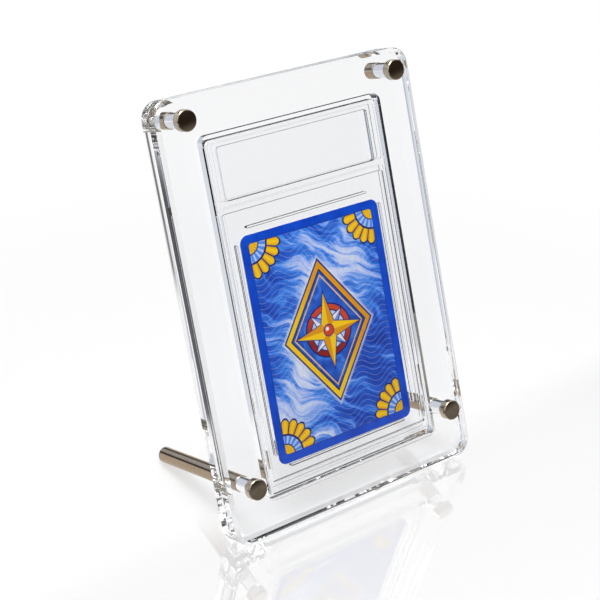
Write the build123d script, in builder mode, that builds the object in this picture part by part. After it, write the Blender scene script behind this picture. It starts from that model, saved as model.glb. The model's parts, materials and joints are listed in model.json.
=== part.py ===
from build123d import *
from math import atan2, cos, degrees, sin
import os

os.makedirs("parts", exist_ok=True)

# A leaning display case for one trading card in its clear slab, in millimetres.
# +Z is up, +X is to the right, and the front looks towards -Y. The case stands on the lower back edge
# of its panels and on the ends of two legs. The origin is under the middle of its bounding box.

# ---------------------------------------------------------------- driving dimensions
# Card
card_width = 63.5
card_height = 88.9
card_thickness = 0.32
card_corner_radius = 3.2
card_tilt = -0.43               # degrees, turned a little in its well

# Clear slab: two moulded shells round the card, each with a well for it and one for a label
shell_gap = 0.04                # joint line between the shells
window_wall = 1.2               # over the card
card_well_depth = 0.9
label_well_depth = 1.0
rim_height = 0.4                # raised rim round the outer faces
rim_side_width = 2.7
rim_top_width = 1.6
rim_bottom_width = 2.3
bar_width = 2.5                 # raised bar between label window and card window
bar_rise = 0.3                  # upper side of the bar above the label well's lower side
slab_corner_radius = 2.2
slab_edge_bevel = 0.4
window_corner_radius = 1.0

# Across the slab, from the card outwards
rail_side_clearance = 0.95
rail_width = 0.8
well_side_room = 3.5            # from a side rail to the well's side
slab_side_wall = 2.5
label_inset = 3.0               # the label well is this much narrower than the card well, each side

# Down the slab, from its top edge
label_top_wall = 3.2
label_height = 20.1
label_to_well = 4.4
well_top_room = 6.4
rail_top_clearance = 2.75       # the card has slipped down to the lower rail
rail_bottom_clearance = 0.3
well_bottom_room = 3.45
well_bottom_wall = 4.4
side_rail_inset = 3.6           # a side rail stops this far inside the card's length, each end
end_rail_inset = 4.05           # an end rail stops this far inside the card's width, each end

# The front panel's pocket, and the slab clamped in it against the back panel
pocket_side_clearance = 0.95
pocket_end_clearance = 2.0
pocket_face_clearance = 0.05    # before and behind the slab
pocket_drop = 1.2               # below the panels' middle
pocket_corner_radius = 3.0

# Clear panels, one round the slab and one behind it
panel_side_margin = 17.5        # from the slab to the panels' edges
panel_end_margin = 16.25
panel_thickness = 6.0
panel_corner_radius = 7.0
panel_bevel = 1.4               # polished bevel round the outer face
seam_bevel = 0.4                # small bevel where the two panels meet
panel_gap = 0.05                # air left between the closed panels

# Fixings: cap, clear washer and stud in front, barrel or leg behind
fixing_side_inset = 10.0        # hole centres from the side edges
fixing_top_inset = 8.1
fixing_bottom_inset = 21.6
panel_hole_diameter = 5.8
stud_diameter = 3.0
stud_clearance = 0.05           # round the stud in every bore that holds it
stud_end_gap = 0.2              # left beyond each end of the stud
washer_seat_width = 0.5         # washer beyond the panel's hole
washer_thickness = 1.0
cap_overhang = 0.6              # cap beyond the washer
cap_height = 3.2
cap_face_wall = 1.0             # metal left in front of the stud
cap_bevel = 0.3
seat_gap = 0.02                 # between pieces that turn or slide on each other
barrel_seat_width = 0.3         # barrel or leg beyond the panel's hole
barrel_length = 5.5
barrel_end_wall = 0.8           # metal left behind the stud
leg_length = 55.0
barrel_front_bevel = 0.25
barrel_end_bevel = 0.3

# ---------------------------------------------------------------- worked out from them
well_width = card_width + 2 * (rail_side_clearance + rail_width + well_side_room)
label_width = well_width - 2 * label_inset
slab_width = well_width + 2 * slab_side_wall
recess_width = slab_width - 2 * rim_side_width
label_drop = label_top_wall + label_height
well_drop = label_drop + label_to_well
top_rail_drop = well_drop + well_top_room + rail_width / 2
card_drop = top_rail_drop + rail_width / 2 + rail_top_clearance
bottom_rail_drop = card_drop + card_height + rail_bottom_clearance + rail_width / 2
well_end_drop = bottom_rail_drop + rail_width / 2 + well_bottom_room
slab_height = well_end_drop + well_bottom_wall
shell_thickness = card_well_depth + window_wall + rim_height
slab_thickness = 2 * shell_thickness

pocket_width = slab_width + 2 * pocket_side_clearance
pocket_height = slab_height + 2 * pocket_end_clearance
slab_seat = pocket_face_clearance - panel_gap / 2
slab_middle = slab_seat + slab_thickness / 2
pocket_depth = slab_seat + slab_thickness + pocket_face_clearance

panel_width = slab_width + 2 * panel_side_margin
panel_height = slab_height + 2 * panel_end_margin
panel_face = panel_gap / 2 + panel_thickness

fixing_x = panel_width / 2 - fixing_side_inset
fixing_top = panel_height / 2 - fixing_top_inset
fixing_bottom = fixing_bottom_inset - panel_height / 2
upper_fixings = {"left": (-fixing_x, fixing_top), "right": (fixing_x, fixing_top)}
lower_fixings = {"left": (-fixing_x, fixing_bottom), "right": (fixing_x, fixing_bottom)}
all_fixings = {
    "top_left": upper_fixings["left"],
    "top_right": upper_fixings["right"],
    "bottom_left": lower_fixings["left"],
    "bottom_right": lower_fixings["right"],
}
washer_diameter = panel_hole_diameter + 2 * washer_seat_width
cap_diameter = washer_diameter + 2 * cap_overhang
barrel_diameter = panel_hole_diameter + 2 * barrel_seat_width
bore_radius = stud_diameter / 2 + stud_clearance
cap_bore_depth = cap_height - cap_face_wall
barrel_bore_depth = barrel_length - barrel_end_wall
washer_seat = panel_face + seat_gap
cap_seat = washer_seat + washer_thickness + seat_gap
stud_front = cap_seat + cap_bore_depth - stud_end_gap
stud_back = -panel_face - barrel_bore_depth + stud_end_gap

# The lean: the lower rim of a leg's end and the panels' lower back edge touch the floor together.
# Seen from the side, the rim is leg_rise above that edge, along the panels, and leg_reach behind it.
leg_rise = fixing_bottom_inset - barrel_diameter / 2
leg_reach = leg_length + panel_bevel - barrel_end_bevel
lean = atan2(leg_rise, leg_reach)

# The foremost point is the lower bevel of the front panel, the rearmost the upper rim of a leg's end.
foremost = panel_bevel * sin(lean)
rearmost_up = fixing_bottom_inset + barrel_diameter / 2 - barrel_end_bevel
rearmost = rearmost_up * sin(lean) + (2 * panel_face + leg_length) * cos(lean)
floor_contact_depth = 2 * panel_face - panel_bevel

# The case's own plane: the middle of the seam, X to the right, Y up the panels, Z to the front.
up_panel = Vector(0, sin(lean), cos(lean))
to_front = Vector(0, -cos(lean), sin(lean))
lower_front_edge = Vector(0, -(foremost + rearmost) / 2, floor_contact_depth * sin(lean))
seam_centre = lower_front_edge + up_panel * (panel_height / 2) - to_front * panel_face
case = Plane(origin=seam_centre, x_dir=(1, 0, 0), z_dir=to_front)
front_axis = Axis(seam_centre, to_front)

# Heights on the slab, from its own centre
slab_top = slab_height / 2
label_y = slab_top - label_top_wall - label_height / 2
label_recess_top = slab_top - rim_top_width
label_recess_bottom = slab_top - label_drop + bar_rise
card_recess_top = label_recess_bottom - bar_width
card_recess_bottom = rim_bottom_width - slab_top
well_top = slab_top - well_drop
well_bottom = slab_top - well_end_drop
top_rail_y = slab_top - top_rail_drop
bottom_rail_y = slab_top - bottom_rail_drop
card_y = slab_top - card_drop - card_height / 2
side_rail_y = (top_rail_y + bottom_rail_y) / 2
side_rail_x = card_width / 2 + rail_side_clearance + rail_width / 2
side_rail_length = card_height - 2 * side_rail_inset
end_rail_length = card_width - 2 * end_rail_inset


def station(x, y, z):
    # A plane parallel to the panels, through a point given in the case's own plane
    return Plane(origin=case.from_local_coords((x, y, z)), x_dir=case.x_dir, z_dir=case.z_dir)


def finish(piece, name):
    piece.part.label = name
    export_step(piece.part, f"parts/{name}.step")


# ---------------------------------------------------------------- panels
def make_panel(name, side, pocket):
    # side is 1 for the front panel and -1 for the back one
    with BuildPart() as panel:
        with BuildSketch(case.offset(side * panel_gap / 2)):
            RectangleRounded(panel_width, panel_height, panel_corner_radius)
        extrude(amount=side * panel_thickness)
        faces_by_depth = panel.faces().sort_by(front_axis)
        outer_face = faces_by_depth[-1] if side > 0 else faces_by_depth[0]
        seam_face = faces_by_depth[0] if side > 0 else faces_by_depth[-1]
        outer_edges = outer_face.edges()
        seam_edges = seam_face.edges()
        chamfer(outer_edges, length=panel_bevel)
        chamfer(seam_edges, length=seam_bevel)

        if pocket:
            with BuildSketch(case):
                with Locations((0, -pocket_drop)):
                    RectangleRounded(pocket_width, pocket_height, pocket_corner_radius)
            extrude(amount=side * pocket_depth, mode=Mode.SUBTRACT)

        # through holes for the studs
        with BuildSketch(case):
            with Locations(*all_fixings.values()):
                Circle(panel_hole_diameter / 2)
        extrude(amount=side * (panel_face + seat_gap), mode=Mode.SUBTRACT)
    finish(panel, name)


make_panel("front_panel", 1, pocket=True)
make_panel("back_panel", -1, pocket=False)


# ---------------------------------------------------------------- slab
slab_plane = station(0, -pocket_drop, slab_middle)


def make_shell(name, side):
    with BuildPart() as shell:
        with BuildSketch(slab_plane.offset(side * shell_gap / 2)):
            RectangleRounded(slab_width, slab_height, slab_corner_radius)
        extrude(amount=side * (slab_thickness - shell_gap) / 2)
        faces_by_depth = shell.faces().sort_by(front_axis)
        outer_face = faces_by_depth[-1] if side > 0 else faces_by_depth[0]
        chamfer(outer_face.edges(), length=slab_edge_bevel)

        # shallow recesses outside leave the raised rim and the bar between the windows
        with BuildSketch(slab_plane.offset(side * slab_thickness / 2)):
            with Locations((0, (label_recess_top + label_recess_bottom) / 2)):
                RectangleRounded(recess_width, label_recess_top - label_recess_bottom, window_corner_radius)
            with Locations((0, (card_recess_top + card_recess_bottom) / 2)):
                RectangleRounded(recess_width, card_recess_top - card_recess_bottom, window_corner_radius)
        extrude(amount=-side * rim_height, mode=Mode.SUBTRACT)

        # closed wells inside, for a label and for the card
        with BuildSketch(slab_plane):
            with Locations((0, label_y)):
                RectangleRounded(label_width, label_height, window_corner_radius)
        extrude(amount=side * label_well_depth, mode=Mode.SUBTRACT)
        with BuildSketch(slab_plane):
            with Locations((0, (well_top + well_bottom) / 2)):
                RectangleRounded(well_width, well_top - well_bottom, window_corner_radius)
        extrude(amount=side * card_well_depth, mode=Mode.SUBTRACT)

        # four round-ended rails that keep the card in place
        with BuildSketch(slab_plane.offset(side * shell_gap / 2)):
            with Locations((0, top_rail_y), (0, bottom_rail_y)):
                SlotOverall(end_rail_length, rail_width)
            with Locations((-side_rail_x, side_rail_y), (side_rail_x, side_rail_y)):
                SlotOverall(side_rail_length, rail_width, rotation=90)
        extrude(amount=side * (card_well_depth - shell_gap / 2))
    finish(shell, name)


make_shell("slab_front_shell", 1)
make_shell("slab_back_shell", -1)

with BuildPart() as trading_card:
    with BuildSketch(slab_plane.offset(-card_thickness / 2)):
        with Locations(Location((0, card_y), card_tilt)):
            RectangleRounded(card_width, card_height, card_corner_radius)
    extrude(amount=card_thickness)
finish(trading_card, "trading_card")


# ---------------------------------------------------------------- fixings in front
for corner, (x, y) in all_fixings.items():
    with BuildPart() as washer:
        with BuildSketch(station(x, y, washer_seat)):
            Circle(washer_diameter / 2)
            Circle(bore_radius, mode=Mode.SUBTRACT)
        extrude(amount=washer_thickness)
    finish(washer, f"washer_{corner}")

    with BuildPart() as cap:
        with BuildSketch(station(x, y, cap_seat)):
            Circle(cap_diameter / 2)
        extrude(amount=cap_height)
        chamfer(cap.edges().sort_by(front_axis)[-1], length=cap_bevel)
        with BuildSketch(station(x, y, cap_seat)):
            Circle(bore_radius)
        extrude(amount=cap_bore_depth, mode=Mode.SUBTRACT)
    finish(cap, f"cap_{corner}")

    with BuildPart() as stud:
        with BuildSketch(station(x, y, stud_back)):
            Circle(stud_diameter / 2)
        extrude(amount=stud_front - stud_back)
    finish(stud, f"stud_{corner}")


# ---------------------------------------------------------------- fixings behind
def make_rear_fixing(name, x, y, length):
    with BuildPart() as fixing:
        with BuildSketch(station(x, y, -panel_face)):
            Circle(barrel_diameter / 2)
        extrude(amount=-length)
        rings = fixing.edges().filter_by(GeomType.CIRCLE).sort_by(front_axis)
        chamfer(rings[0], length=barrel_end_bevel)
        chamfer(rings[-1], length=barrel_front_bevel)
        with BuildSketch(station(x, y, -panel_face)):
            Circle(bore_radius)
        extrude(amount=-barrel_bore_depth, mode=Mode.SUBTRACT)
    finish(fixing, name)


for hand, (x, y) in upper_fixings.items():
    make_rear_fixing(f"barrel_{hand}", x, y, barrel_length)
for hand, (x, y) in lower_fixings.items():
    make_rear_fixing(f"leg_{hand}", x, y, leg_length)

print(f"lean {degrees(lean):.3f} degrees, seam centre {tuple(round(v, 4) for v in seam_centre)}")
print(f"front direction {tuple(round(v, 6) for v in to_front)}")
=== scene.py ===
import json
import math

import bmesh
import bpy
from mathutils import Matrix, Vector


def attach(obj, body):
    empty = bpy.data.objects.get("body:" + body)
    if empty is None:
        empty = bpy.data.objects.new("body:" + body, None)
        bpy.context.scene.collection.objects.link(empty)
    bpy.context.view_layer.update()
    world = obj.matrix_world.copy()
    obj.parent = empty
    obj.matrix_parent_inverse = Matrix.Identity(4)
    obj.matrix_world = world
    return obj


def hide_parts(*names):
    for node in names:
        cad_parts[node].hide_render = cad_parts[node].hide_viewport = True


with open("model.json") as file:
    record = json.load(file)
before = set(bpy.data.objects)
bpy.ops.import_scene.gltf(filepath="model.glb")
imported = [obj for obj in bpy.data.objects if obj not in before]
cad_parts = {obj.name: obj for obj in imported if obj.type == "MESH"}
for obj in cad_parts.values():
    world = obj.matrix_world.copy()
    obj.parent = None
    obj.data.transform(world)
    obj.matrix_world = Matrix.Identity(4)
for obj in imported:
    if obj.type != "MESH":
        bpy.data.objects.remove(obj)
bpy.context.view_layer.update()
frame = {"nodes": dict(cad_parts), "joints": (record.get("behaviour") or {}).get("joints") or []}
nodes = frame["nodes"]
joints = {joint["name"]: joint for joint in frame["joints"]}
mm = 0.001
corners = ("top_left", "top_right", "bottom_left", "bottom_right")
print("frame loaded", len(nodes), "nodes")


# the case's own frame: x to the right, y up the panels, z out of the front face
outward = Vector(joints["front_lift"]["axis"]).normalized()
upPanel = outward.cross(Vector((1, 0, 0)))
caseTurn = Matrix((Vector((1, 0, 0)), upPanel, outward)).transposed()


def reach(node, axis):
    values = [v.co.dot(axis) for v in nodes[node].data.vertices]
    return min(values), max(values)


lowest, highest = reach("back_panel", upPanel)
frontDepth = reach("front_panel", outward)[1]
frontCentre = upPanel * (lowest + highest) / 2 + outward * frontDepth
caseSpace = Matrix.Translation(frontCentre) @ caseTurn.to_4x4()


def inCase(x, y, z):
    return caseSpace @ Vector((x, y, z))


def extent(node):
    # centre, and lowest and highest corner, of a node in the case's frame
    toCase = caseSpace.inverted()
    places = [toCase @ v.co for v in nodes[node].data.vertices]
    low = Vector([min(p[i] for p in places) for i in range(3)])
    high = Vector([max(p[i] for p in places) for i in range(3)])
    return (low + high) / 2, low, high


# camera, fitted to the photograph's card, panel edges and fixings
cameraFit = {
    "place": (-0.29488, 0.12663, 0.45304),  # in the case's frame
    "right": (0.8124, -0.1749, 0.5563),
    "down": (-0.2495, -0.9665, 0.0605),
    "ahead": (0.5271, -0.1879, -0.8288),
    "lens": 87.94,
    "shiftY": -65 / 600,
}


def addCamera(fit):
    data = bpy.data.cameras.new("camera")
    data.sensor_width = 36
    data.lens = fit["lens"]
    data.shift_y = fit["shiftY"]
    data.clip_start = 0.01
    camera = bpy.data.objects.new("camera", data)
    bpy.context.scene.collection.objects.link(camera)
    right, down, ahead = (caseTurn @ Vector(fit[k]) for k in ("right", "down", "ahead"))
    turn = Matrix((right.normalized(), -down.normalized(), -ahead.normalized())).transposed()
    camera.matrix_world = Matrix.Translation(inCase(*fit["place"])) @ turn.to_4x4()
    bpy.context.scene.camera = camera


addCamera(cameraFit)
print("camera placed")


class Wire:
    # an output socket that can stand in a formula
    def __init__(self, finish, socket):
        self.finish = finish
        self.socket = socket
        self.vector = socket.type in ("VECTOR", "RGBA")

    def join(self, operation, *terms, out=0):
        vector = any(isinstance(t, Wire) and t.vector for t in terms)
        kind = "ShaderNodeVectorMath" if vector else "ShaderNodeMath"
        if vector:
            terms = [t if isinstance(t, (Wire, tuple, Vector)) else (t, t, t) for t in terms]
        return self.finish.node(kind, {"operation": operation}, terms, out)

    def __add__(self, other):
        return self.join("ADD", self, other)

    def __radd__(self, other):
        return self.join("ADD", other, self)

    def __sub__(self, other):
        return self.join("SUBTRACT", self, other)

    def __rsub__(self, other):
        return self.join("SUBTRACT", other, self)

    def __mul__(self, other):
        return self.join("MULTIPLY", self, other)

    def __rmul__(self, other):
        return self.join("MULTIPLY", other, self)

    def __truediv__(self, other):
        return self.join("DIVIDE", self, other)

    def __rtruediv__(self, other):
        return self.join("DIVIDE", other, self)

    def __neg__(self):
        return self * -1

    def __abs__(self):
        return self.join("ABSOLUTE", self)

    def __pow__(self, power):
        return self.join("POWER", self, power)

    def __gt__(self, other):
        return self.join("GREATER_THAN", self, other)

    def __lt__(self, other):
        return self.join("LESS_THAN", self, other)

    def atLeast(self, other):
        return self.join("MAXIMUM", self, other)

    def atMost(self, other):
        return self.join("MINIMUM", self, other)

    def sine(self):
        return self.join("SINE", self)

    def fraction(self):
        return self.join("FRACT", self)

    def dot(self, other):
        return self.join("DOT_PRODUCT", self, other, out=1)

    def length(self):
        return self.finish.node("ShaderNodeVectorMath", {"operation": "LENGTH"}, [self], 1)

    def ease(self, start, end):
        # 0 at start, 1 at end, smooth between
        return self.finish.node(
            "ShaderNodeMapRange",
            {"interpolation_type": "SMOOTHSTEP"},
            {"Value": self, "From Min": start, "From Max": end},
        )

    def split(self):
        parts = self.finish.node("ShaderNodeSeparateXYZ", {}, [self], None)
        return [Wire(self.finish, out) for out in parts.outputs]


class Finish:
    # a material, or a world, whose nodes are made one call at a time
    def __init__(self, name, owner=None):
        self.owner = owner or bpy.data.materials.new(name)
        self.owner.use_nodes = True
        self.tree = self.owner.node_tree
        self.tree.nodes.clear()

    def node(self, kind, settings=None, inputs=None, out=0):
        made = self.tree.nodes.new(kind)
        for key, setting in (settings or {}).items():
            if key == "stops":
                self.setStops(made.color_ramp, setting)
            else:
                setattr(made, key, setting)
        pairs = inputs.items() if isinstance(inputs, dict) else enumerate(inputs or [])
        for key, given in pairs:
            if isinstance(given, Wire):
                self.tree.links.new(given.socket, made.inputs[key])
            else:
                made.inputs[key].default_value = given
        return made if out is None else Wire(self, made.outputs[out])

    def setStops(self, ramp, stops):
        while len(ramp.elements) < len(stops):
            ramp.elements.new(0.5)
        for element, (position, colour) in zip(ramp.elements, stops):
            element.position = position
            element.color = colour

    def ramp(self, share, stops):
        return self.node("ShaderNodeValToRGB", {"stops": stops}, [share])

    def mix(self, share, first, second):
        mixed = self.node("ShaderNodeMix", {"data_type": "RGBA"}, {0: share, 6: first, 7: second}, None)
        return Wire(self, mixed.outputs[2])

    def stack(self, colour, layers):
        # each layer is (share, colour), from the lowest up
        for share, upper in layers:
            colour = self.mix(share, colour, upper)
        return colour

    def coordinate(self, kind):
        return self.node("ShaderNodeTexCoord", {}, {}, kind)

    def vector(self, x, y, z):
        return self.node("ShaderNodeCombineXYZ", {}, [x, y, z])

    def noise(self, place, scale, detail=2.0, roughness=0.5, distortion=0.0):
        return self.node(
            "ShaderNodeTexNoise",
            {},
            {
                "Vector": place,
                "Scale": scale,
                "Detail": detail,
                "Roughness": roughness,
                "Distortion": distortion,
            },
        )

    def bump(self, height, distance):
        inputs = {"Height": height, "Distance": distance, "Strength": 1.0}
        return self.node("ShaderNodeBump", {}, inputs)

    def principled(self, **inputs):
        named = {key.replace("_", " "): given for key, given in inputs.items()}
        return self.node("ShaderNodeBsdfPrincipled", {}, named)

    def surface(self, shader):
        self.node("ShaderNodeOutputMaterial", {}, {"Surface": shader}, None)
        return self.owner


def ink(red, green, blue):
    # a colour as read off a screen, 0 to 255
    parts = [c / 255 for c in (red, green, blue)]
    return tuple(c / 12.92 if c <= 0.04045 else ((c + 0.055) / 1.055) ** 2.4 for c in parts) + (1.0,)


def grey(level):
    return (level, level, level, 1.0)


# clear plastics
clearLooks = {
    # tint, refractive index, shine, and the height and scale of the surface's ripple
    "panel_acrylic": ((0.992, 0.994, 0.998, 1), 1.49, 0.7, 2e-7, 45),
    "slab_plastic": ((0.988, 0.99, 0.995, 1), 1.53, 0.2, 1e-7, 90),
    "washer_plastic": ((0.95, 0.96, 0.97, 1), 1.46, 1.0, 4e-6, 900),
}


def clearPlastic(name):
    tint, index, shine, height, scale = clearLooks[name]
    finish = Finish(name)
    ripple = finish.noise(finish.coordinate("Object"), scale, detail=1.0)
    body = finish.principled(
        Base_Color=tint,
        Roughness=0.0,
        IOR=index,
        Specular_Tint=grey(shine),
        Transmission_Weight=1.0,
        Normal=finish.bump(ripple, height),
    )
    # light from the lamp passes nearly unchanged
    lampRay = finish.node("ShaderNodeLightPath", {}, {}, "Is Shadow Ray")
    gap = finish.node("ShaderNodeBsdfTransparent", {}, {"Color": (0.985, 0.988, 0.992, 1)})
    return finish.surface(finish.node("ShaderNodeMixShader", {}, [lampRay, body, gap]))


panelClear = clearPlastic("panel_acrylic")
slabClear = clearPlastic("slab_plastic")
washerClear = clearPlastic("washer_plastic")


# metals: the pieces' own UV gives millimetres across the axis
metalLooks = {
    "nickel": {"light": ink(206, 193, 175), "dark": ink(184, 168, 148), "roughness": 0.12, "swing": 0.08},
    "steel": {"light": ink(206, 204, 200), "dark": ink(165, 162, 156), "roughness": 0.22, "swing": 0.15},
}
metalGrain = {
    "cap": {"rings": 1.0, "hairs": 0.15, "depth": 6e-7},
    "leg": {"rings": 0.2, "hairs": 1.0, "depth": 2.2e-6},
    "stud": {"rings": 0.6, "hairs": 0.4, "depth": 2e-6},
}
# stretch along the axis, scale, detail and roughness of each noise
scratches = {
    "rings": (0.3, 9.0, 4.0, 0.7),
    "hairs": (0.02, 11.0, 3.0, 0.65),
    "cloud": (1.0, 0.6, 2.0, 0.5),
}


def turnedMetal(name, look, grain):
    finish = Finish(name)
    across = finish.coordinate("UV")
    along = finish.coordinate("Object").dot(tuple(outward)) / mm
    x, y = across.split()[:2]

    def scratch(kind, u, v):
        stretch, scale, detail, roughness = scratches[kind]
        place = finish.vector(u, v, along * stretch)
        return finish.noise(place, scale, detail, roughness)

    # rings on the end faces, fine scratches along the sides
    rings = scratch("rings", across.length(), 0.0)
    hairs = scratch("hairs", x, y)
    cloud = scratch("cloud", x, y)
    texture = rings * grain["rings"] + hairs * grain["hairs"]
    shade = (texture * 0.7 + cloud * 0.6).ease(0.25, 0.95)
    rough = look["roughness"] + (cloud * 0.6 + texture * 0.5 - 0.5) * look["swing"]
    return finish.surface(
        finish.principled(
            Base_Color=finish.mix(shade, look["light"], look["dark"]),
            Roughness=rough,
            Metallic=1.0,
            Normal=finish.bump(texture, grain["depth"]),
        )
    )


capNickel = turnedMetal("cap_nickel", metalLooks["nickel"], metalGrain["cap"])
legNickel = turnedMetal("leg_nickel", metalLooks["nickel"], metalGrain["leg"])
studSteel = turnedMetal("stud_steel", metalLooks["steel"], metalGrain["stud"])
print("clear and metal finishes made")


# card print, with the card's own UV in millimetres from its centre
printInks = {
    "border": ink(0, 66, 194),
    "rim": ink(4, 82, 214),
    "deep": ink(18, 64, 172),
    "royal": ink(36, 92, 208),
    "heart": ink(40, 96, 206),
    "sky": ink(72, 144, 240),
    "frost": ink(120, 150, 226),
    "pale": ink(196, 212, 252),
    "white": ink(240, 243, 252),
    "gold": ink(255, 208, 20),
    "amber": ink(232, 158, 16),
    "navy": ink(14, 34, 112),
    "red": ink(214, 74, 35),
    "rust": ink(150, 34, 22),
}
paperForm = {"scale": 5.0, "swing": 0.12, "depth": 0.000006, "specular": 0.15}


def inkPaper(finish, colour, roughness):
    form = paperForm
    weave = finish.noise(finish.coordinate("UV"), form["scale"], detail=3.0, roughness=0.7)
    return finish.surface(
        finish.principled(
            Base_Color=colour,
            Roughness=roughness + (weave - 0.5) * form["swing"],
            Specular_IOR_Level=form["specular"],
            Normal=finish.bump(weave, form["depth"]),
        )
    )


def within(value, limit, soft=0.08):
    # 1 below the limit and 0 above it, with a soft edge in the value's own unit
    return 1 - value.ease(limit - soft, limit + soft)


def between(value, low, high, soft=0.08):
    return value.ease(low - soft, low + soft) * within(value, high, soft)


fieldForm = {
    "slant": (0.52, 0.85),
    "warp": (0.035, 34, 20),  # scale, and how far it bends the strokes along and across
    "strokes": (0.045, 0.32, 0.75),  # scales across and along, and share of the tone
    "clouds": (0.03, 0.06, 0.45),
    "glow": (4, 0.9, 0.18, 0.2),  # offset, spread across and along, and share of the tone
    "glowEdge": (17.0, 15.0),
    "darker": 0.23,
    "stops": ((0.27, "deep"), (0.4, "royal"), (0.48, "sky"), (0.57, "pale"), (0.7, "white")),
    # fine lines: radians per millimetre, swing, spacing, half width, share and ink
    "waves": (0.42, 1.7, 2.3, 0.05, 0.22, "white"),
    "crossWaves": (0.36, 1.9, 2.9, 0.04, 0.2, "navy"),
}


def wavingLines(finish, colour, x, y, form):
    turn, swing, spacing, half, share, shade = form
    row = ((y + (x * turn).sine() * swing) / spacing).fraction()
    return finish.mix(within(abs(row - 0.5), half, 0.03) * share, colour, printInks[shade])


def brushedField(finish, place, x, y):
    # long curved strokes from blue to nearly white, with fine waving lines over them
    f = fieldForm
    flat, steep = f["slant"]
    scale, bendAlong, bendAcross = f["warp"]
    warp = finish.noise(place, scale, detail=2.0) - 0.5
    lean = x * flat + y * steep + warp * bendAlong
    side = x * steep - y * flat + warp * bendAcross
    across, along, strokeShare = f["strokes"]
    stretched = finish.vector(side * across, lean * along, 0.0)
    strokes = finish.noise(stretched, 1.0, detail=6.0, roughness=0.62, distortion=0.4)
    across, along, cloudShare = f["clouds"]
    clouds = finish.noise(finish.vector(side * across, lean * along, 4.0), 1.0, detail=3.0)
    offset, across, along, glowShare = f["glow"]
    glow = within(abs(side + offset) * across + abs(lean) * along, *f["glowEdge"])
    tone = strokes * strokeShare + clouds * cloudShare + glow * glowShare - f["darker"]
    field = finish.ramp(tone, [(position, printInks[name]) for position, name in f["stops"]])
    field = wavingLines(finish, field, x, y, f["waves"])
    return wavingLines(finish, field, y, x, f["crossWaves"])


borderForm = {
    "inner": (28.45, 41.15),  # half sizes of the field inside the border
    "round": 1.2,
    "line": (0.16, 0.08),
    "edge": (-0.05, 0.1),
    "tintScale": 0.12,
}
fanForm = {
    "blades": 5,
    "reach": 13.5,
    "outline": 0.75,
    "scallop": 1.7,
    "split": 0.84,
    "rings": (8.2, 7.4, 4.5, 4.0),
}


def cornerFans(finish, field, x, y):
    # a quarter fan in each corner of the field
    f, p = fanForm, printInks
    fromX, fromY = (inner - abs(c) for inner, c in zip(borderForm["inner"], (x, y)))
    radius = finish.vector(fromX, fromY, 0.0).length()
    turn = fromY.join("ARCTAN2", fromY, fromX) / (math.pi / 2)
    blade = abs((turn * f["blades"]).fraction() - 0.5) * 2
    scallop = radius + blade * blade * f["scallop"]
    fan = within(scallop, f["reach"])
    petal = finish.mix(blade.ease(0.1, 1.0), p["gold"], p["amber"])
    band = finish.mix(blade.ease(0.3, 0.9), p["sky"], p["pale"])
    hub = finish.mix(blade.ease(0.2, 0.9), p["gold"], p["amber"])
    outer, ring, inner, middle = f["rings"]
    layers = (
        (within(scallop, f["reach"] + f["outline"]), p["navy"]),
        (fan, petal),
        (fan * (blade > f["split"]), p["navy"]),
        (between(radius, ring, outer), p["navy"]),
        (within(radius, ring), band),
        (between(radius, middle, inner), p["navy"]),
        (within(radius, middle), hub),
    )
    return finish.stack(field, layers)


# distances are in millimetres out from the diamond's edge
diamondForm = {
    "half": (19.5, 27.0),
    "halo": (1.7, 0.5, 0.55),  # distance, softness and share
    "outline": 0.9,
    "gilt": 0.25,
    "frame": -1.5,
    "heart": -2.1,
    "line": (-3.25, -2.85, 0.06),
    "cloudScale": 0.12,
    "stops": ((0.3, "deep"), (0.5, "heart"), (0.68, "sky")),
}


def diamond(finish, field, x, y):
    # upright, with a double gold frame
    f, p = diamondForm, printInks
    wide, tall = f["half"]
    perMm = wide * tall / math.hypot(wide, tall)
    inside = (abs(x) / wide + abs(y) / tall - 1) * perMm
    gilt = finish.mix((x + y * 0.6).ease(-12.0, 12.0), p["gold"], p["amber"])
    cloud = finish.vector(x * f["cloudScale"], y * f["cloudScale"], 2.0)
    spread = finish.noise(cloud, 1.0, detail=4.0, distortion=1.2)
    heart = finish.ramp(spread, [(position, p[name]) for position, name in f["stops"]])
    halo, softness, share = f["halo"]
    layers = (
        (within(inside, halo, softness) * share, p["white"]),
        (within(inside, f["outline"]), p["navy"]),
        (within(inside, f["gilt"]), gilt),
        (within(inside, f["frame"]), p["navy"]),
        (within(inside, f["heart"]), heart),
        (between(inside, *f["line"]), p["gold"]),
    )
    return finish.stack(field, layers)


starForm = {
    "rings": (10.6, 10.0, 8.1, 7.6),
    "diagonal": 0.7071,
    "short": (9.6, 2.6, 1.12),  # reach, waist, and how much larger the outline is
    "long": (14.6, 2.9, 1.1),
    "hub": (2.5, 2.1),
    "glint": (0.6, -0.7, 0.75, 0.35),  # to the left and down, radius and softness
}


def fourPoints(finish, field, x, y, form, shaded, lit):
    # one half of each point is lit
    length, waist, outline = form
    a, b = abs(x), abs(y)
    far, near = a.atLeast(b), a.atMost(b)
    edge = (far * waist + near * (length - waist)) / (length * waist)
    face = finish.mix((x * y * (a - b)) > 0, shaded, lit)
    layers = ((within(edge, outline, 0.03), printInks["navy"]), (within(edge, 1.0, 0.02), face))
    return finish.stack(field, layers)


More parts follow.
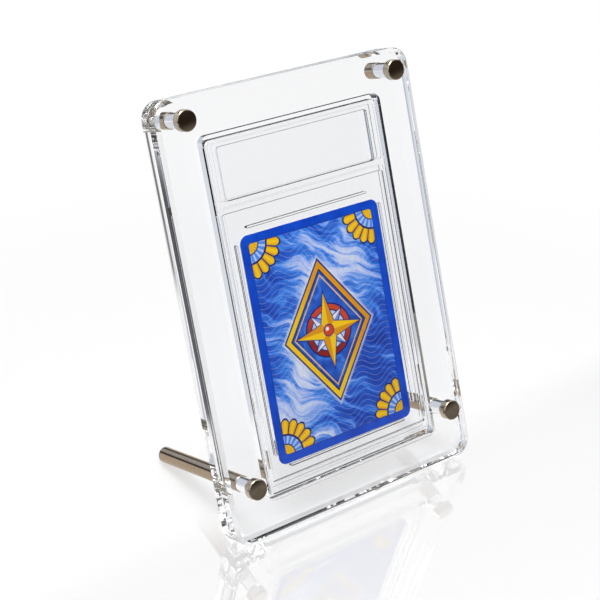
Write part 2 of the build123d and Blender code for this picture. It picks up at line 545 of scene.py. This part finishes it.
def compass(finish, field, place, x, y):
    # a ring with an eight-pointed star over it
    f, p = starForm, printInks
    radius = place.length()
    outer, band, line, dial = f["rings"]
    layers = (
        (within(radius, outer), p["navy"]),
        (within(radius, band), finish.mix((y + x * 0.4).ease(-8.0, 8.0), p["rust"], p["red"])),
        (within(radius, line), p["navy"]),
        (within(radius, dial), finish.mix(radius.ease(1.0, dial), p["white"], p["pale"])),
    )
    field = finish.stack(field, layers)
    slantX, slantY = (x + y) * f["diagonal"], (y - x) * f["diagonal"]
    field = fourPoints(finish, field, slantX, slantY, f["short"], p["frost"], p["white"])
    field = fourPoints(finish, field, x, y, f["long"], p["amber"], p["gold"])
    rim, hub = f["hub"]
    left, down, size, softness = f["glint"]
    glint = finish.vector(x + left, y + down, 0.0).length()
    layers = (
        (within(radius, rim), p["navy"]),
        (within(radius, hub), p["red"]),
        (within(glint, size, softness), p["white"]),
    )
    return finish.stack(field, layers)


def border(finish, field, place, x, y):
    # plain, with rounded inner corners
    f, p = borderForm, printInks
    innerX, innerY = f["inner"]
    outX = (abs(x) - (innerX - f["round"])).atLeast(0.0)
    outY = (abs(y) - (innerY - f["round"])).atLeast(0.0)
    past = finish.vector(outX, outY, 0.0).length() - f["round"]
    flat = past.atLeast((abs(x) - innerX).atLeast(abs(y) - innerY))
    tint = finish.noise(place, f["tintScale"], detail=2.0).ease(0.3, 0.7)
    rim = finish.mix(tint, p["border"], p["rim"])
    layers = ((within(abs(flat), *f["line"]), p["navy"]), (flat.ease(*f["edge"]), rim))
    return finish.stack(field, layers)


def cardFront():
    finish = Finish("card_front")
    place = finish.coordinate("UV")
    x, y = place.split()[:2]
    field = brushedField(finish, place, x, y)
    field = cornerFans(finish, field, x, y)
    field = diamond(finish, field, x, y)
    field = compass(finish, field, place, x, y)
    return inkPaper(finish, border(finish, field, place, x, y), 0.36)


backInks = {
    "stock": ink(206, 210, 216),
    "shadow": ink(190, 195, 204),
    "dawn": ink(250, 226, 160),
    "noon": ink(120, 180, 232),
    "wood": ink(36, 92, 70),
    "meadow": ink(96, 150, 84),
    "plain": ink(236, 236, 230),
    "rule": ink(176, 182, 196),
}
backForm = {
    "window": (26, 17, 18),  # half width, middle and half height
    "panel": (26, -21, 14),
    "inner": (29.2, 41.9),
    "frame": 0.9,
    "hill": (0.07, 16, 6),  # scale, swing and least height
    "skyHeight": 40,
    "groundHeight": 20,
    "ruleStep": 7,
    "ruleSpan": (0.45, 0.55, 0.03),
    "margin": 2.0,
}


def cardBack():
    # a picture window over a plain panel with ruled bands
    finish = Finish("card_back")
    f, p, b = backForm, printInks, backInks
    place = finish.coordinate("UV")
    x, y = place.split()[:2]

    def outOf(form):
        half, middle, halfHeight = form
        return (abs(x) - half).atLeast(abs(y - middle) - halfHeight)

    stock = finish.mix(finish.noise(place, 0.5, detail=4.0).ease(0.35, 0.65), b["stock"], b["shadow"])
    scale, swing, least = f["hill"]
    hill = finish.noise(finish.vector(x * scale, 0.0, 0.0), 1.0, detail=4.0) * swing + least
    rise = (y / f["skyHeight"]).atLeast(0.0)
    sky = finish.ramp(rise, [(0.2, b["dawn"]), (0.55, b["noon"]), (0.95, p["sky"])])
    ground = finish.mix((y / f["groundHeight"]).ease(0.0, 1.0), b["wood"], b["meadow"])
    window, panel = outOf(f["window"]), outOf(f["panel"])
    ruled = between((y / f["ruleStep"]).fraction(), *f["ruleSpan"])
    innerX, innerY = f["inner"]
    rim = (abs(x) - innerX).atLeast(abs(y) - innerY)
    layers = (
        (within(window, f["frame"]), p["amber"]),
        (within(window, 0.0), finish.mix((hill - y).ease(-0.1, 0.1), sky, ground)),
        (within(panel, 0.0), b["plain"]),
        (within(panel, -f["margin"]) * ruled, b["rule"]),
        (rim.ease(-0.05, 0.1), p["border"]),
    )
    return inkPaper(finish, finish.stack(stock, layers), 0.4)


def cardEdge():
    finish = Finish("card_edge")
    fibre = finish.noise(finish.coordinate("Object"), 6000.0, detail=3.0)
    return finish.surface(
        finish.principled(
            Base_Color=finish.mix(fibre, ink(236, 234, 228), ink(214, 212, 206)),
            Roughness=0.8,
            Normal=finish.bump(fibre, 0.00001),
        )
    )


cardLooks = (cardFront(), cardBack(), cardEdge())
print("card print made")


def pieceName(node):
    first, *rest = node.split("_")
    return first + "".join(word.capitalize() for word in rest)


def makePiece(name, bm, body, materials, stands, sharp=28.0):
    # sharp edges by angle, then a linked object that stands for CAD nodes
    bmesh.ops.recalc_face_normals(bm, faces=bm.faces)
    for face in bm.faces:
        face.smooth = True
    for edge in bm.edges:
        edge.smooth = len(edge.link_faces) == 2 and edge.calc_face_angle(0) < math.radians(sharp)
    mesh = bpy.data.meshes.new(name)
    bm.to_mesh(mesh)
    bm.free()
    for material in materials:
        mesh.materials.append(material)
    piece = bpy.data.objects.new(name, mesh)
    bpy.context.scene.collection.objects.link(piece)
    # the large faces keep their own normals and the small bevels turn between them
    weighted = piece.modifiers.new("weighted", "WEIGHTED_NORMAL")
    weighted.keep_sharp = True
    weighted.weight = 100
    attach(piece, body)
    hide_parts(*stands)
    return piece


tiny = 1e-7  # metres


def bevelEdges(bm, edges, size, segments, clamp=False):
    bmesh.ops.bevel(
        bm, geom=edges, offset=size, offset_type="OFFSET", segments=segments,
        profile=0.5, affect="EDGES", material=-1, clamp_overlap=clamp,
    )


def uprightEdges(bm):
    return [e for e in bm.edges if abs((e.verts[0].co - e.verts[1].co).normalized().z) > 0.999]


def roundedBlock(low, high, radius, segments):
    # a box in the case's frame with its four upright edges rounded
    bm = bmesh.new()
    middle, size = (low + high) / 2, high - low
    place = Matrix.Translation(middle) @ Matrix.Diagonal((*size, 1))
    bmesh.ops.create_cube(bm, size=1, matrix=place)
    bevelEdges(bm, uprightEdges(bm), radius, segments)
    return bm


def rimEdges(bm, z):
    # the loop round the face at height z
    level = [e for e in bm.edges if all(abs(v.co.z - z) < tiny for v in e.verts)]
    return [e for e in level if any(abs(f.normal.z) < 0.5 for f in e.link_faces)]


def bevelRim(bm, z, size, segments):
    bm.normal_update()
    bevelEdges(bm, rimEdges(bm, z), size, segments)


def softenEdges(bm, angle, size, segments):
    bm.normal_update()
    limit = math.radians(angle)
    hard = [e for e in bm.edges if len(e.link_faces) == 2 and e.calc_face_angle(0) > limit]
    bevelEdges(bm, hard, size, segments, clamp=True)


def cutWith(bm, cutters):
    # Boolean difference through scratch objects
    def scratch(part, name):
        mesh = bpy.data.meshes.new(name)
        part.to_mesh(mesh)
        part.free()
        made = bpy.data.objects.new(name, mesh)
        bpy.context.scene.collection.objects.link(made)
        return made

    block = scratch(bm, "block")
    tools = [scratch(cutter, "cutter") for cutter in cutters]
    for tool in tools:
        modifier = block.modifiers.new("cut", "BOOLEAN")
        modifier.operation = "DIFFERENCE"
        modifier.solver = "EXACT"
        modifier.object = tool
    bpy.context.view_layer.update()
    depsgraph = bpy.context.evaluated_depsgraph_get()
    result = bmesh.new()
    result.from_mesh(block.evaluated_get(depsgraph).to_mesh())
    for scrap in [block, *tools]:
        bpy.data.objects.remove(scrap)
    return result


panelForm = {
    "cornerRadius": 7.0 * mm,
    "cornerSegments": 28,
    "bevel": 1.4 * mm,
    "seamBevel": 0.4 * mm,
    "holeRadius": 2.9 * mm,
    "holeSegments": 72,
    "holeLength": 20 * mm,
    "pocketRadius": 3.0 * mm,
    "pocketSegments": 14,
    "pocketHalf": (40.45 * mm, 69.75 * mm),
    "pocketDrop": 1.2 * mm,
    "pocketDepth": 5.05 * mm,
}


def addPanel(name, form, pocket):
    middle, low, high = extent(name)
    bm = roundedBlock(low, high, form["cornerRadius"], form["cornerSegments"])
    outerZ, seamZ = (high.z, low.z) if pocket else (low.z, high.z)
    bevelRim(bm, outerZ, form["bevel"], 1)
    bevelRim(bm, seamZ, form["seamBevel"], 1)
    cutters = []
    for corner in corners:
        spot = extent("cap_" + corner)[0]
        place = Matrix.Translation((spot.x, spot.y, middle.z))
        hole = bmesh.new()
        bmesh.ops.create_cone(
            hole, cap_ends=True, segments=form["holeSegments"], depth=form["holeLength"],
            radius1=form["holeRadius"], radius2=form["holeRadius"], matrix=place,
        )
        cutters.append(hole)
    if pocket:
        halfX, halfY = form["pocketHalf"]
        drop = Vector((0, form["pocketDrop"], 0))
        start = Vector((-halfX, -halfY, low.z - mm)) - drop
        end = Vector((halfX, halfY, low.z + form["pocketDepth"])) - drop
        cutters.append(roundedBlock(start, end, form["pocketRadius"], form["pocketSegments"]))
    bm = cutWith(bm, cutters)
    bmesh.ops.transform(bm, matrix=caseSpace, verts=bm.verts)
    body = "front" if pocket else "back"
    return makePiece(pieceName(name), bm, body, [panelClear], [name])


addPanel("front_panel", panelForm, True)
addPanel("back_panel", panelForm, False)
print("panels made")


def setFlatUv(bm):
    # UV in millimetres across z, from the piece's own axis
    layer = bm.loops.layers.uv.new("across")
    for face in bm.faces:
        for loop in face.loops:
            loop[layer].uv = (loop.vert.co.x / mm, loop.vert.co.y / mm)


def spinProfile(points, form):
    # points are (radius, z); the last joins the axis or the first point
    bm = bmesh.new()
    row = [bm.verts.new((radius, 0, z)) for radius, z in points]
    edges = [bm.edges.new(pair) for pair in zip(row, row[1:])]
    if points[0][0] > 0:
        edges.append(bm.edges.new((row[-1], row[0])))
    bmesh.ops.spin(
        bm, geom=row + edges, cent=(0, 0, 0), axis=(0, 0, 1), dvec=(0, 0, 0),
        angle=math.tau, steps=form["steps"], use_merge=True, use_duplicate=False,
    )
    bmesh.ops.remove_doubles(bm, verts=bm.verts, dist=tiny)
    bmesh.ops.recalc_face_normals(bm, faces=bm.faces)
    softenEdges(bm, form["softAngle"], form["softness"], form["softSegments"])
    return bm


turnedForm = {
    "steps": 96,
    "softness": 0.05 * mm,
    "softAngle": 28,
    "softSegments": 2,
    "boreRadius": 1.55 * mm,
    "capBevel": 0.3 * mm,
    "capBore": 2.2 * mm,
    "barrelFront": 0.25 * mm,
    "barrelEnd": 0.3 * mm,
    "barrelBore": 4.7 * mm,
}


def standOn(bm, middle):
    # from the piece's own axis to its place in the case
    place = caseSpace @ Matrix.Translation((middle.x, middle.y, 0))
    bmesh.ops.transform(bm, matrix=place, verts=bm.verts)


def addTurned(node, profile, material, body):
    middle, low, high = extent(node)
    points = profile((high.x - low.x) / 2, low.z, high.z)
    bm = spinProfile(points, turnedForm)
    setFlatUv(bm)
    standOn(bm, middle)
    return makePiece(pieceName(node), bm, body, [material], [node], sharp=40.0)


def capProfile(radius, low, high):
    f = turnedForm
    return [
        (0, high),
        (radius - f["capBevel"], high),
        (radius, high - f["capBevel"]),
        (radius, low),
        (f["boreRadius"], low),
        (f["boreRadius"], low + f["capBore"]),
        (0, low + f["capBore"]),
    ]


def barrelProfile(radius, low, high):
    f = turnedForm
    return [
        (0, low),
        (radius - f["barrelEnd"], low),
        (radius, low + f["barrelEnd"]),
        (radius, high - f["barrelFront"]),
        (radius - f["barrelFront"], high),
        (f["boreRadius"], high),
        (f["boreRadius"], high - f["barrelBore"]),
        (0, high - f["barrelBore"]),
    ]


def washerProfile(radius, low, high):
    bore = turnedForm["boreRadius"]
    return [(bore, low), (radius, low), (radius, high), (bore, high)]


threadForm = {
    "pitch": 0.5 * mm,
    "depth": 0.3 * mm,
    "stepsPerTurn": 28,
    "flanks": (0.12, 0.45, 0.57, 0.9),  # shares of a pitch at which the flanks start and end
}


def makeThread(crest, low, high):
    # a helix of one tooth, cut square at both ends
    f = threadForm
    root = crest - f["depth"]
    turns = math.ceil((high - low) / f["pitch"]) + 2
    bm = bmesh.new()
    foot, top, fall, end = f["flanks"]
    shape = [(root, 0.0), (root, foot), (crest, top), (crest, fall), (root, end), (root, 1.0)]
    row = [bm.verts.new((radius, 0, low + (share - 1) * f["pitch"])) for radius, share in shape]
    edges = [bm.edges.new(pair) for pair in zip(row, row[1:])]
    bmesh.ops.spin(
        bm, geom=row + edges, cent=(0, 0, 0), axis=(0, 0, 1), dvec=(0, 0, f["pitch"] / f["stepsPerTurn"]),
        angle=math.tau * turns, steps=turns * f["stepsPerTurn"], use_merge=False, use_duplicate=False,
    )
    bmesh.ops.remove_doubles(bm, verts=bm.verts, dist=1e-6)
    for z, side in ((low, -1), (high, 1)):
        bmesh.ops.bisect_plane(
            bm, geom=bm.verts[:] + bm.edges[:] + bm.faces[:], dist=tiny,
            plane_co=(0, 0, z), plane_no=(0, 0, side), clear_outer=True,
        )
        rim = [e for e in bm.edges if e.is_boundary and all(abs(v.co.z - z) < 1e-6 for v in e.verts)]
        bmesh.ops.holes_fill(bm, edges=rim, sides=0)
    setFlatUv(bm)
    return bm


def addStud(corner, thread):
    node = "stud_" + corner
    bm = thread.copy()
    standOn(bm, extent(node)[0])
    name, body = pieceName(node), "screw_" + corner
    return makePiece(name, bm, body, [studSteel], [node], sharp=35.0)


low, high = extent("stud_top_left")[1:]
thread = makeThread((high.x - low.x) / 2, low.z, high.z)
for corner in corners:
    addTurned("cap_" + corner, capProfile, capNickel, "screw_" + corner)
    addTurned("washer_" + corner, washerProfile, washerClear, f"washer_{corner}_body")
    addStud(corner, thread)
thread.free()
for node in ("barrel_left", "barrel_right", "leg_left", "leg_right"):
    addTurned(node, barrelProfile, legNickel, "back")
print("fixings made")


cardForm = {"size": (63.5 * mm, 88.9 * mm), "tilt": -0.43, "radius": 3.2 * mm, "segments": 16}


def addCard(form):
    middle, low, high = extent("trading_card")
    wide, tall = form["size"]
    half = Vector((wide, tall, high.z - low.z)) / 2
    bm = roundedBlock(-half, half, form["radius"], form["segments"])
    setFlatUv(bm)
    bm.normal_update()
    for face in bm.faces:
        face.material_index = 0 if face.normal.z > 0.5 else 1 if face.normal.z < -0.5 else 2
    turn = Matrix.Rotation(math.radians(form["tilt"]), 4, "Z")
    bmesh.ops.transform(bm, matrix=caseSpace @ Matrix.Translation(middle) @ turn, verts=bm.verts)
    return makePiece("tradingCard", bm, "slab", cardLooks, ["trading_card"])


addCard(cardForm)
for node in ("slab_front_shell", "slab_back_shell"):
    nodes[node].data.materials.clear()
    nodes[node].data.materials.append(slabClear)
print("slab and card made")


# the studio is white to the eye; its darker parts are painted shade and painted reflections that only
# glass and metal show
paintedShades = {
    "flag": ink(40, 44, 52),
    "haze": ink(196, 202, 214),
    "unlit": ink(38, 41, 47),
    "metalUnlit": ink(50, 43, 36),
    "paintedStreak": ink(74, 64, 54),
    "slate": ink(42, 48, 58),
    "paintedTrappedShade": ink(222, 226, 232),
    "front": ink(134, 132, 128),
    "metalFloor": ink(218, 210, 200),
}


class LightPath:
    # what kind of ray asks for a colour
    def __init__(self, finish):
        path = finish.node("ShaderNodeLightPath", {}, {}, None)
        self.direct, glossy, self.refracted = (
            Wire(finish, path.outputs[f"Is {ray} Ray"]) for ray in ("Camera", "Glossy", "Transmission")
        )
        # a refracted ray counts as glossy too
        self.mirrored = glossy * (1 - self.refracted)
        self.seen = self.direct.atLeast(glossy).atLeast(self.refracted)
        self.mirrors = Wire(finish, path.outputs["Glossy Depth"])
        self.scattered = Wire(finish, path.outputs["Diffuse Depth"]) > 0.5
        self.bounced = self.between(1, 8)
        self.once = self.bounced * (1 - self.between(2, 8))

    def between(self, fewest, most):
        # mirrored at least and at most so often on its way
        return (self.mirrors > fewest - 0.5) * (self.mirrors < most + 0.5) * (1 - self.direct)


floorForm = {
    "radius": 0.6,
    "sides": 96,
    "colour": (0.86, 0.86, 0.865, 1),
    "mottle": (60.0, 0.002, 0.006),  # scale, and the least and the added roughness of the mirror
    "white": (0.62, 1.0),  # share of plain white round the case and far off
    "whiteSpan": (0.14, 0.3),  # radii between the two
    "mirror": (0.3, 0.13, 0.025),  # share of mirror at the case, in front of it and behind it
    "mirrorFront": (-0.032, -0.16),  # depths that the front and back shares are reached between
    "mirrorBack": (-0.032, 0.0),
    "mirrorEnd": (0.17, 0.34),
    # from here on: where the painted brightening, painted shade and painted reflections seen through the
    # glass or in the metal lie; strip is a painted slate line
    "throughGlass": 1.05,
    "behind": (0.03, 0.05),
    "ahead": (-0.03, -0.1),
    "trappedEnd": (0.1, 0.16),
    "strip": (0.036, 0.012, 0.004),  # a line just before the case: depth, half width, softness
    "bevelSlope": 0.487,
    "bevelLine": (0.0706, 0.072, 0.0004),
    "bevelFrom": (0.1, 0.15),
    "bevelShade": 0.9,
}


def floorLook(form):
    finish = Finish("floor")
    place = finish.coordinate("Object")
    x, depth = place.split()[:2]
    away = place.length()
    path = LightPath(finish)
    # what looks at the floor sees a share of plain white; light that bounces off it doesn't
    near, far = form["white"]
    share = path.seen * (near + away.ease(*form["whiteSpan"]) * (far - near))
    # painted shade: rays trapped in the glass see the floor behind painted slate, with a painted thin
    # line along the left bevel
    behind = depth.ease(*form["behind"]) * path.refracted
    paintedTrappedShade = behind * (1 - x.ease(*form["trappedEnd"])) * path.between(2, 12)
    line = between(x - depth * form["bevelSlope"], *form["bevelLine"]) * depth.ease(*form["bevelFrom"])
    paintedTrappedShade = paintedTrappedShade.atLeast(line * path.refracted * path.between(13, 15) * form["bevelShade"])
    # a painted slate strip just before the case, seen only through the glass
    stripDepth, stripHalf, stripSoft = form["strip"]
    strip = within(abs(depth + stripDepth), stripHalf, stripSoft)
    paintedTrappedShade = paintedTrappedShade.atLeast(strip * path.refracted * path.between(2, 8))
    # painted reflection: metal, and glass rays that bounced once, see the floor ahead painted grey
    metal = path.mirrored * path.bounced
    ahead = depth.ease(*form["ahead"])
    paintedGlassShade = ahead * path.refracted * path.once
    # the painted colours: pale grey behind the glass, slate for trapped rays, grey ahead in metal and
    # glass
    colour = finish.mix(behind * path.bounced, grey(1.0), paintedShades["paintedTrappedShade"])
    colour = finish.mix(paintedTrappedShade, colour, paintedShades["slate"])
    colour = finish.mix(metal, colour, finish.mix(ahead, paintedShades["metalFloor"], paintedShades["front"]))
    colour = finish.mix(paintedGlassShade, colour, paintedShades["front"])
    toned = (behind * path.bounced).atLeast(paintedTrappedShade).atLeast(metal).atLeast(paintedGlassShade)
    # painted brightening: the floor looks a little brighter through the glass, except where painted shade
    # is
    level = 1 + path.refracted * (form["throughGlass"] - 1) * (1 - toned)
    matt = finish.node("ShaderNodeBsdfDiffuse", {}, {"Color": form["colour"]})
    white = finish.node("ShaderNodeEmission", {}, [colour, level])
    base = finish.node("ShaderNodeMixShader", {}, [share.atLeast(toned), matt, white])
    # polished in front of the case, and duller away from it
    scale, least, added = form["mottle"]
    mottle = finish.noise(place, scale, detail=2.0)
    gloss = finish.node("ShaderNodeBsdfGlossy", {}, {"Roughness": least + mottle * added})
    centre, front, back = form["mirror"]
    mirror = centre - depth.ease(*form["mirrorFront"]) * (centre - front)
    mirror = mirror - depth.ease(*form["mirrorBack"]) * (centre - back)
    mirror = mirror * (1 - away.ease(*form["mirrorEnd"]))
    return finish.surface(finish.node("ShaderNodeMixShader", {}, [mirror, base, gloss]))


def addFloor(form):
    bm = bmesh.new()
    bmesh.ops.create_circle(bm, cap_ends=True, segments=form["sides"], radius=form["radius"])
    mesh = bpy.data.meshes.new("floor")
    bm.to_mesh(mesh)
    bm.free()
    mesh.materials.append(floorLook(form))
    floor = bpy.data.objects.new("floor", mesh)
    bpy.context.scene.collection.objects.link(floor)


lampForm = {"place": (-0.1, -0.14, 1.0), "size": 0.5, "power": 5.6}


def addLamp(form):
    data = bpy.data.lights.new("softbox", "AREA")
    data.size = form["size"]
    data.energy = form["power"]
    lamp = bpy.data.objects.new("softbox", data)
    bpy.context.scene.collection.objects.link(lamp)
    place = Vector(form["place"])
    aim = (frontCentre - place).to_track_quat("-Z", "Y")
    lamp.matrix_world = Matrix.Translation(place) @ aim.to_matrix().to_4x4()


# heights are in degrees; a side is its bearing, and the cosines at which it starts and is full
# these place the painted shade, painted streak and painted reflections in the world that only glass and
# metal see; throughGlass is a painted brightening
roomForm = {
    "throughGlass": 1.05,
    "fill": 0.72,  # what the surroundings give to matt surfaces
    "top": (25.0, 33.0),
    "low": (-11.8, -9.8),
    "straightLow": (8.0, 12.0),
    "backFlag": (47.0, 0.8, 0.93),
    "mirroredFlag": 0.6,
    "glassSide": (-25.0, 0.82, 0.92),
    "metalSide": (-60.0, 0.45, 0.75),
    "metalTop": (22.0, 27.0),
    "metalRise": (-4.0, 8.5),
    "trappedSide": (-66.0, 0.93, 0.98),
    "trappedAbove": (88.0, 0.6, 0.75),
    "aboveSpan": (34.0, 37.0, 54.0, 58.0),
    "paintedStreakSpan": (-1.0, 1.0, 9.0, 11.0),
}


def height(degrees):
    return math.sin(math.radians(degrees))


def addWorld(form):
    world = bpy.data.worlds.new("studio")
    bpy.context.scene.world = world
    world.cycles.sampling_method = "NONE"
    finish = Finish("studio", world)
    look = finish.coordinate("Generated")
    rise = look.split()[2]
    level = (1 - rise * rise).atLeast(0.0001) ** 0.5
    path = LightPath(finish)

    def rises(low, high):
        return rise.ease(height(low), height(high))

    def spans(start, full, ebb, end):
        return rises(start, full) * (1 - rises(ebb, end))

    def towards(degrees, start, full):
        turn = math.radians(degrees)
        return (look.dot((math.cos(turn), math.sin(turn), 0.0)) / level).ease(start, full)

    # painted reflection: mirrored rays see a hazy grey band painted along the horizon, darkest behind the
    # case to the right
    under = 1 - rises(*form["top"])
    flag = towards(*form["backFlag"])
    # painted brightening: rays through the glass see the white a little brighter
    plain = 1 + path.refracted * (form["throughGlass"] - 1)
    band = (path.mirrors > 0.5) * rises(*form["low"]) * under
    band = band.atLeast(flag * rises(*form["straightLow"]) * under)
    dark = flag * (1 - path.mirrored * form["mirroredFlag"])
    haze = finish.mix(dark, paintedShades["haze"], paintedShades["flag"])
    light = finish.mix(band, finish.vector(plain, plain, plain), haze)
    # painted shade: a dark side painted into what the glass shows, and painted slate that light trapped
    # in it meets
    glassSide = path.bounced * towards(*form["glassSide"]) * under
    light = finish.mix(path.refracted * glassSide, light, paintedShades["unlit"])
    metalSide = towards(*form["metalSide"])
    light = finish.mix(path.refracted * path.once * metalSide * under, light, paintedShades["unlit"])
    paintedTrappedShade = path.between(4, 8) * towards(*form["trappedSide"]) * under
    overhead = path.between(4, 12) * towards(*form["trappedAbove"]) * spans(*form["aboveSpan"])
    light = finish.mix(path.refracted * paintedTrappedShade.atLeast(overhead), light, paintedShades["slate"])
    # a painted dim streak all round in the metal's reflection, and painted shade for the room round the
    # camera
    light = finish.mix(path.mirrored * spans(*form["paintedStreakSpan"]), light, paintedShades["paintedStreak"])
    shade = finish.mix(rises(*form["metalRise"]), paintedShades["front"], paintedShades["metalUnlit"])
    facing = path.bounced * path.mirrored * (1 - rises(*form["metalTop"]))
    light = finish.mix(facing * metalSide, light, shade)
    light = finish.mix(path.scattered, light, grey(form["fill"]))
    light = finish.mix(path.direct, light, grey(1.0))
    background = finish.node("ShaderNodeBackground", {}, [light, 1.0])
    finish.node("ShaderNodeOutputWorld", {}, {"Surface": background}, None)


addFloor(floorForm)
addLamp(lampForm)
addWorld(roomForm)
bpy.context.scene.view_settings.view_transform = "Standard"
# enough bounces for light to find its way out of the thick plates
cycles = bpy.context.scene.cycles
cycles.max_bounces = 32
cycles.transmission_bounces = 32
cycles.glossy_bounces = 24
cycles.transparent_max_bounces = 32
print("studio made")
